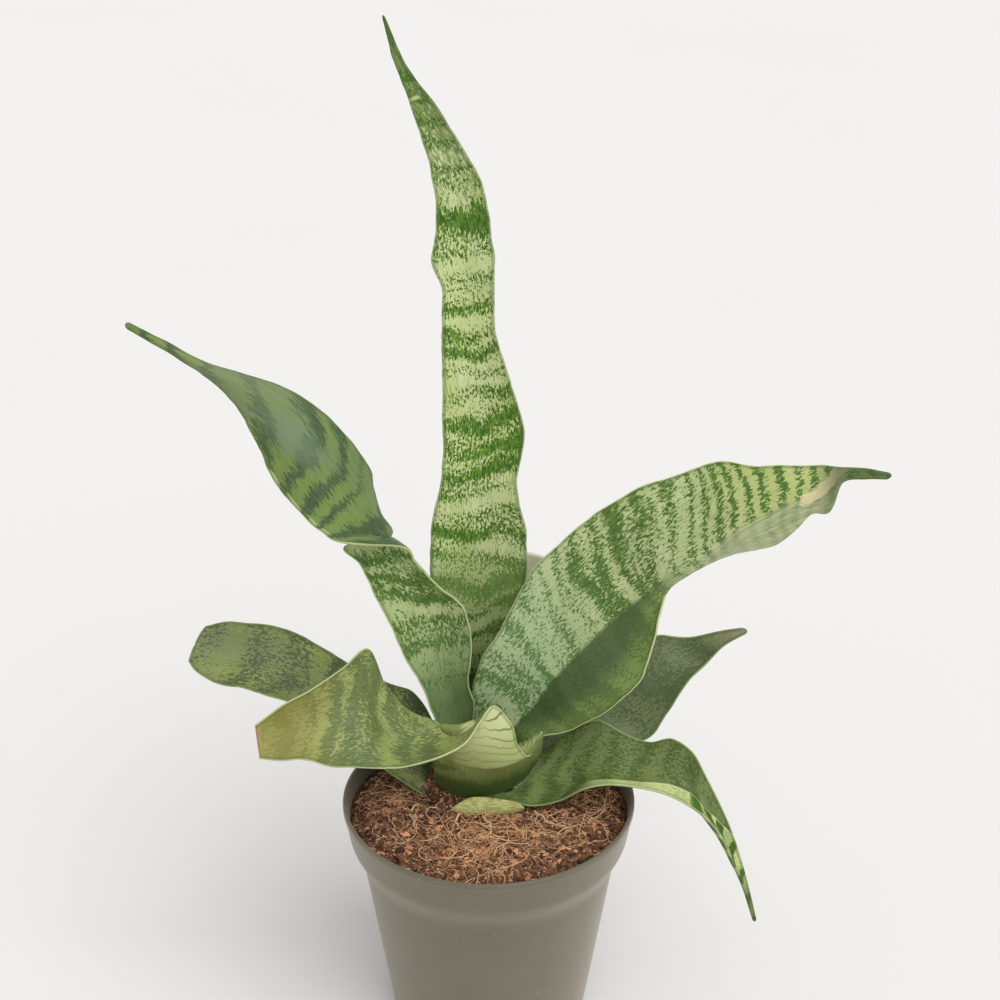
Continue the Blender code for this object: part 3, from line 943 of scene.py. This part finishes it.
# %% Arching leaf
arching = [
    (6.5, 85, -45, 3.5),
    ((-5.5, 15, 31.5), (16, 8, 19.5), (8, 14, 19.5)), ((-1.5, 13, 46), (24, 6, 23), (14, 15, 26.5)),
    ((4, 12, 56), (31.5, 4, 28.5), (19.5, 14, 36)), ((10, 11.5, 70.5), (39, 2.5, 35), (26, 13, 45)),
    ((15.5, 11, 80), (45.5, 2, 43.5), (33, 12, 54)),
    ((23.5, 10.5, 88.5), (49, 3, 54.5), (40, 12, 61.5)),
    ((32.5, 10, 97), (51.5, 6, 66), (47, 11, 68.5)), ((43, 9, 104.5), (55, 14, 71), (52, 8, 75.5)),
    ((52, 8.5, 108.5), (62, 17, 74.5), (57.5, 6, 80.5)), ((60, 8, 112), (70, 16, 79), (65, 4, 87)),
    ((67, 7, 114.5), (77, 14, 82), (72.5, 2, 95.5)),
    ((76.5, 4, 114.5), (84.5, 11, 85), (80.5, 1, 101)), ((85, 2, 115.5), (90, 7, 92.5), (87, 0, 105)),
    ((90.5, 1.5, 116), (93.8, 4, 99.5), (91.8, -0.5, 107)),
    ((94.5, 1, 116.5), (98.2, 3, 100), (95.5, -1, 109)),
    ((100, 0, 116), (101, 1, 110.5), (100.5, -1, 113.5)), ((107, -1, 116), (107, -1, 112.5), 0.4),
    ((114.5, -2, 115), (114, -2, 113), 0.2),
]


def arching_marks(tone, at):
    """A bluish foot, painted shade on the lower right half, a sunnier end, a pale strip, a dry patch,
    a dark point.
    """
    left = falls(at.across, -0.0012, 0.0006)
    right = maths("SUBTRACT", 1.0, left)
    foot = falls(at.along, 0.05, 0.085)
    bluish = paint(shown(170, 194, 150), shown(66, 112, 48), at.dark, 0.75)
    tone = paint(tone, bluish, foot, left, 0.65)
    # Painted shade: the lower right half is darkened as if turned from the light, lightest towards
    # its margin.
    lower = falls(at.along, 0.095, 0.112)
    inward = between(at.edge, 0.002, 0.012)
    inward = scale_add(centred(at.cloud), 0.6, inward)
    shade = blend_colours(inward, shown(124, 148, 80), shown(82, 102, 62))
    shade = paint(shade, shown(62, 84, 36), at.dark, 0.55)
    tone = paint(tone, shade, right, lower, lower)
    sunny = blend_colours(at.dark, shown(182, 192, 112), shown(78, 116, 40))
    tone = paint(tone, sunny, between(at.along, 0.112, 0.136), 0.6)
    strip = where_between(at.along, 0.117, 0.158, 0.006)
    folds = between(at.veins, 0.4, 0.6)
    wrinkled = blend_colours(folds, shown(196, 202, 160), shown(140, 154, 106))
    tone = paint(tone, wrinkled, right, strip, 0.7)
    ragged = scale_add(at.fine, 0.003, at.across)
    slanted = scale_add(maths("SUBTRACT", at.along, 0.158), 0.28, ragged)
    frayed = scale_add(at.fine, 0.01, at.along)
    patch = where_between(slanted, -0.0022, 0.0018, 0.0004)
    tone = paint(tone, shown(222, 212, 166), patch, where_between(frayed, 0.153, 0.176, 0.0006))
    return paint(tone, shown(62, 84, 36), falls(at.to_tip, 0.014, 0.026), 0.8)


arching_finish = leaf_finish(
    "arching leaf", 14.2, BROAD, DULL, pitch=0.0075, chevron=-0.1, cover=0.5,
    outer=(0.112, 0.4, 0.5, 0, 1), margin=0.8, marks=arching_marks
)
add_leaf("leaf_arching", "leaf_right_arching", arching, arching_finish, seed=3, crease=0.5)

# %% [markdown]
# ## The low leaves
#
# Four leaves lean out low over the rim, and a short one stands at the back. The one in front is
# bent over to the left so that its right margin rolls across it, and it ends in a straight cut
# that has healed brown.

# %% Folded leaf
folded = [
    (11, -30, -150, 5.0),
    ((13, 4, 10), (-16.5, 8, 2), 5), ((16.5, 1, 21.5), (-17, 6, 9.5), 5.5),
    ((16, -1, 27), (-17.5, 6, 14), 5.5), ((13.5, -3, 21.5), (-18, 6, 18), 5.5),
    ((9, -4, 24.5), (-18, 5.5, 22), 5), ((6.5, -4.5, 33.5), (-17.5, 5, 25), 4.5),
    ((1.5, -5, 39.5), (-17, 5, 27), 4), ((-2.5, -8, 35.5), (-19, 5, 28.5), 4.5),
    ((-6, -11, 31), (-22, 5, 30), 5), ((-14.5, -15, 27.5), (-26, 4, 34), 6),
    ((-25, -17, 25.5), (-31, 3, 42), 6.5), ((-35.5, -19, 26.5), (-36, 2, 55), 6),
    ((-45, -20, 27.5), (-43, -3, 51.5), 5), ((-54, -21.5, 31), (-52.5, -9, 47.5), 4),
    ((-61, -22, 31), (-60, -14, 45.5), 3), ((-66.5, -23, 32.5), (-68, -18, 41), 1.5),
]
LINE_PITCH = 0.0021


def folded_marks(tone, at):
    """A pale front with thin dark lines, a deep green foot and a yellowing, healed end."""
    back = maths("SUBTRACT", 1.0, at.side)
    slanted = scale_add(maths("ADD", at.across, 0.006), 2.0, at.along)
    beside = falls(slanted, 0.050, 0.056)
    near = where_between(at.along, 0.024, 0.06, 0.005)
    wavy = scale_add(at.cloud, 0.011, at.along)
    lines = product(
        between(maths("SINE", product(wavy, 2 * math.pi / LINE_PITCH)), 0.75, 1.0),
        between(at.veins, 0.15, 0.5),
        between(at.cloud, 0.3, 0.6),
    )
    pale = blend_colours(lines, shown(206, 212, 156), shown(112, 126, 70))
    # Greener where the pale front nears the bulge at its foot: painted shade.
    pale = paint(pale, shown(150, 168, 96), falls(at.along, 0.03, 0.042), 0.6)
    tone = paint(tone, pale, near, back, beside)
    tone = paint(tone, shown(62, 88, 36), falls(at.along, 0.012, 0.026), 0.8)
    tone = paint(tone, shown(140, 132, 62), falls(at.to_tip, 0.008, 0.03), 0.7)
    healed = falls(scale_add(at.cloud, -0.0016, at.to_tip), -0.0002, 0.0008)
    return paint(tone, shown(170, 140, 92), healed)


folded_finish = leaf_finish("folded leaf", 21.7, OLIVE, OLIVE, pitch=0.0085, marks=folded_marks)
add_leaf("leaf_folded", "leaf_front_folded", folded, folded_finish, seed=4, ripple=0.3, round_end=0)

# %% [markdown]
# The next leaf droops past the rim on the right, to a thin point. Its lower margin is rolled, and
# painting that strip is simpler than modelling a roll as thin as the leaf itself.

# %% Drooping leaf
drooping = [
    (15, -32, -112, 3.5),
    ((11, 8, 4), (-7, 0, 2), 3.5),
    ((18.5, 13, 12.5), (6, -2, 2.6), 3.5), ((27, 12, 20.5), (14, -4, 2.2), 4.5),
    ((34.5, 10, 24.5), (22.5, -5, 5.5), 5), ((40, 8, 22), (30, -8, 12), 5),
    ((50, 5, 20), (43.5, -11, 14.5), 5), ((56.5, 2, 23), (53.5, -13, 13), 5),
    ((62, -2, 21), (60.5, -15, 10), 4.5), ((66, -6, 15), (66, -17, 6.5), 4),
    ((70.5, -11, 7.5), (70.5, -18, 0.5), 3), ((75, -15, -3), (74, -19, -7.5), 2),
    ((78.5, -18, -14), (77.5, -20, -15), 1), ((82, -22, -27.5), (81, -22, -28), 0.3),
]
BLOCK_PITCH = 0.0078


def drooping_marks(tone, at):
    """The lower margin is rolled, so a strip of the paler, banded side shows along it."""
    past_rib = maths("MAXIMUM", product(at.across, -2.0), 0.0)
    from_right = maths("ADD", at.edge, past_rib)
    outward = maths("MAXIMUM", maths("SUBTRACT", at.along, 0.055), 0.0)
    narrowed = scale_add(outward, -0.11, from_right)
    lip = product(falls(narrowed, 0.0042, 0.0046), where_between(at.along, 0.042, 0.16, 0.006))
    blocks = maths("SINE", product(at.along, 2 * math.pi / BLOCK_PITCH))
    blocks = scale_add(centred(at.cloud), 5.0, blocks)
    blocks = scale_add(centred(at.fine), 2.0, blocks)
    blocks = product(between(blocks, -0.1, 0.2), between(at.along, 0.066, 0.072))
    blocks = maths("MAXIMUM", blocks, product(at.dark, 0.35))
    fresh = blend_colours(blocks, shown(204, 214, 148), shown(72, 104, 30))
    tone = blend_colours(lip, tone, fresh)
    tone = paint(tone, PALE_LINE, lip, between(narrowed, 0.0038, 0.0042), 0.6)
    return paint(tone, shown(66, 82, 36), falls(at.to_tip, 0.006, 0.02), 0.7)


drooping_finish = leaf_finish(
    "drooping leaf", 31.9, DROOP, DROOP, pitch=0.010, margin=0.4, marks=drooping_marks
)
add_leaf("leaf_drooping", "leaf_right_drooping", drooping, drooping_finish, seed=5, ripple=0.3)

# %% [markdown]
# The leaves behind are mostly hidden, so their finishes are plain: dull bands, and two dry tips.

# %% Low left leaf
low_left = [
    (15, 225, 152, 2.5),
    ((-21, 5, 0.6), (-19, 23, 5), 2.5),
    ((-28.5, 7, 5), (-17, 24, 10), 3), ((-38.5, 9, 12.5), (-23.5, 27, 23.5), 4.5),
    ((-49, 12, 21), (-32.5, 30, 26), 5), ((-58.5, 14, 27.5), (-45, 32, 32), 4.5),
    ((-70.5, 17, 29.5), (-52.5, 33, 37), 3.5), ((-76.5, 18, 31), (-63.5, 34, 43), 3),
    ((-86, 20.5, 32), (-75, 34, 45), 2.5), ((-92, 22.5, 35.5), (-84, 33, 46), 1.8),
    ((-93.5, 23, 38), (-89.5, 32, 45), 1),
]

low_left_finish = leaf_finish("low left leaf", 41.3, LOW, LOW, pitch=0.014, margin=0.25)
add_leaf(
    "leaf_low_left", "leaf_left_low", low_left, low_left_finish, seed=6, ripple=0.45, round_end=0.5
)

# %% Back right leaf
back_right = [
    (15, 40, -17, 2.0),
    ((9, 25, 5), (13, 11, 4), 2.0), ((14, 27, 14), (22.5, 15, 7), 3),
    ((22.5, 30, 23), (35, 19, 10), 4), ((35, 33, 32), (50.5, 21, 10.5), 4),
    ((44.5, 35, 37), (56.5, 24, 18), 4),
    ((53.5, 37, 39), (62.5, 28, 26.5), 4), ((63, 38, 37.5), (69, 32, 31.5), 3),
    ((73, 37, 40.5), (74.5, 34, 37), 1.2), ((80.5, 36, 42.3), (82.3, 35.5, 41), 0.3),
]


def back_right_marks(tone, at):
    """The point has dried to a pale grey brown."""
    dry = falls(scale_add(at.cloud, 0.014, at.to_tip), 0.006, 0.02)
    return paint(tone, shown(160, 152, 124), dry, 0.75)


back_right_finish = leaf_finish(
    "back right leaf", 51.2, GREY, GREY, pitch=0.012, margin=0.25, marks=back_right_marks
)
add_leaf("leaf_back_right", "leaf_right_back", back_right, back_right_finish, seed=7, ripple=0.3)

# %% Short back leaf
short_back = [
    (15, 100, 50, 1.5),
    ((2.5, 34, 20.5), (18, 32, 21.5), 2.5), ((3.5, 35, 45.5), (18.5, 33, 46), 3),
    ((5.5, 36, 61.5), (19, 34, 60.5), 2.5), ((6.5, 36, 69), (18.5, 34, 68), 2),
]


def short_marks(tone, at):
    """Its cut end has dried to straw, painted near white as painted light against the tall leaf's
    shadow.
    """
    dry = falls(scale_add(at.cloud, 0.01, at.to_tip), 0.02, 0.03)
    # Partly the straw of the dried end and partly painted light: it is painted paler than straw to
    # lift it out of the tall leaf's shadow.
    return paint(tone, shown(246, 240, 214), dry)


short_finish = leaf_finish("short back leaf", 61.8, VIVID, DULL, marks=short_marks)
add_leaf("leaf_short", "leaf_back_short", short_back, short_finish, seed=8, ripple=0.3, round_end=0)

# %% [markdown]
# ## Sheath and surface roots
#
# At the plant's foot a short, fibrous scale wraps the leaf bases, and pale roots come up on the mix.
# Both are small, but they tie the plant to the ground. The roots are tubes that wriggle a little.

# %% Sheath and roots
def sheath_finish():
    made, shader = new_material("basal sheath", 0.6)
    blade = add("ShaderNodeAttribute", {"attribute_name": "blade"}).outputs["Vector"]
    streaks = grain(stretched(blade, 500, 2200, 1), 3.0, 0.6)
    cloud = grain(stretched(blade, 150, 300, 1), 2.0)
    tone = blend_colours(between(streaks, 0.4, 0.7), shown(196, 200, 130), shown(140, 148, 74))
    tone = blend_colours(between(cloud, 0.45, 0.7), tone, shown(158, 134, 80))
    feed(shader.inputs["Base Color"], tone)
    raise_surface(shader, streaks, 0.0005, 0.8)
    return made


sheath = leaf_mesh(
    "leaf_sheath",
    [
        (19.5, -48, -112, 1.5),
        ((11, -3.5, 1.5), (-11, -2.5, 1.0), 1.5), ((8, -3.5, 4.0), (-5, -1.5, 4.5), 1.0),
    ],
    sheath_finish(), seed=9, ripple=1.0, round_end=0.8,
)
place(sheath, ["basal_sheath"])

surface_roots = [
    [(-22, 0), (-24, -5), (-22, -13)],
    [(-9, -6), (-10, -10), (-7, -14)],
    [(-2, -7), (1, -11), (0, -16)],
    [(14, -3), (18, -9), (24, -12)],
    [(36, 3), (35, -4), (30, -9)],
]
root_finish = toned_finish("surface root", shown(160, 122, 80), shown(236, 212, 168), 0.7)
ROOT_STEPS, ROOT_SIDES = 24, 8
ROOT_RADIUS, ROOT_TAPER, ROOT_LIFT = 0.42, 0.25, 0.5
steps = np.linspace(0, 1, ROOT_STEPS)
for number, way in enumerate(surface_roots, 1):
    flat = smooth_curve(np.linspace(0, 1, len(way)), np.array(way, float), steps)
    for axis, seed in enumerate((number, number + 50)):
        flat[:, axis] += wander(np.arange(ROOT_STEPS), seed, 0.9, 5)
    path = [(x, y, ground_height(x, y) + ROOT_LIFT) for x, y in flat]
    points, faces = tube(path, ROOT_RADIUS - ROOT_TAPER * steps, ROOT_SIDES)
    root = new_object(f"root_{number}", points, faces, root_finish)
    point_values(root, "tone", np.full((len(points), 3), 0.6))
    place(root, [f"surface_root_{number}"])
print("roots:", len(surface_roots))

# %% [markdown]
# ## Floor, light and camera
#
# A plain pale floor and a wide, soft light keep the shadows faint, as in a small product studio. The
# camera looks down at the plant from about half a metre through a long lens.

# %% Floor
def floor_finish():
    made, shader = new_material("studio floor", 0.9)
    cloud = grain(object_place(), 3.0, 0.5, 3.0)
    tone = blend_colours(cloud, (0.84, 0.83, 0.815), (0.87, 0.862, 0.85))
    feed(shader.inputs["Base Color"], tone)
    return made


below_pot = (0, 0, -0.0004)
bpy.ops.mesh.primitive_grid_add(x_subdivisions=8, y_subdivisions=8, size=12, location=below_pot)
floor = bpy.context.object
floor.name = "studio_floor"
floor.data.materials.append(floor_finish())
floor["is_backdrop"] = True

# %% Light
sun = bpy.data.lights.new("key", "SUN")
sun.angle = math.radians(60)
sun.energy = 1.8
lamp = bpy.data.objects.new("key", sun)
light_goes = Vector((-0.4, 0.5, -0.85))
lamp.rotation_euler = light_goes.to_track_quat("-Z", "Y").to_euler()
bpy.context.scene.collection.objects.link(lamp)
world = bpy.data.worlds.new("studio")
world.use_nodes = True
sky = world.node_tree.nodes["Background"].inputs
sky["Color"].default_value = (1.0, 0.995, 0.985, 1)
sky["Strength"].default_value = 0.6
bpy.context.scene.world = world
bpy.context.scene.view_settings.view_transform = "Standard"

# %% Camera
camera_data = bpy.data.cameras.new("camera")
camera_data.lens = 72
camera_data.sensor_width = 36
camera = bpy.data.objects.new("camera", camera_data)
camera.location = (0.0035, -0.5108, 0.4365)
camera.rotation_euler = (math.radians(63.34), 0, 0)
bpy.context.scene.collection.objects.link(camera)
bpy.context.scene.camera = camera

# %% Finish
visual_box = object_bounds()
boxes = {"solid": solid_box, "visual": visual_box}
boxes = {key: [list(map(float, corner)) for corner in box] for key, box in boxes.items()}
print("visual box in mm:", [[round(v / MM, 1) for v in corner] for corner in visual_box])
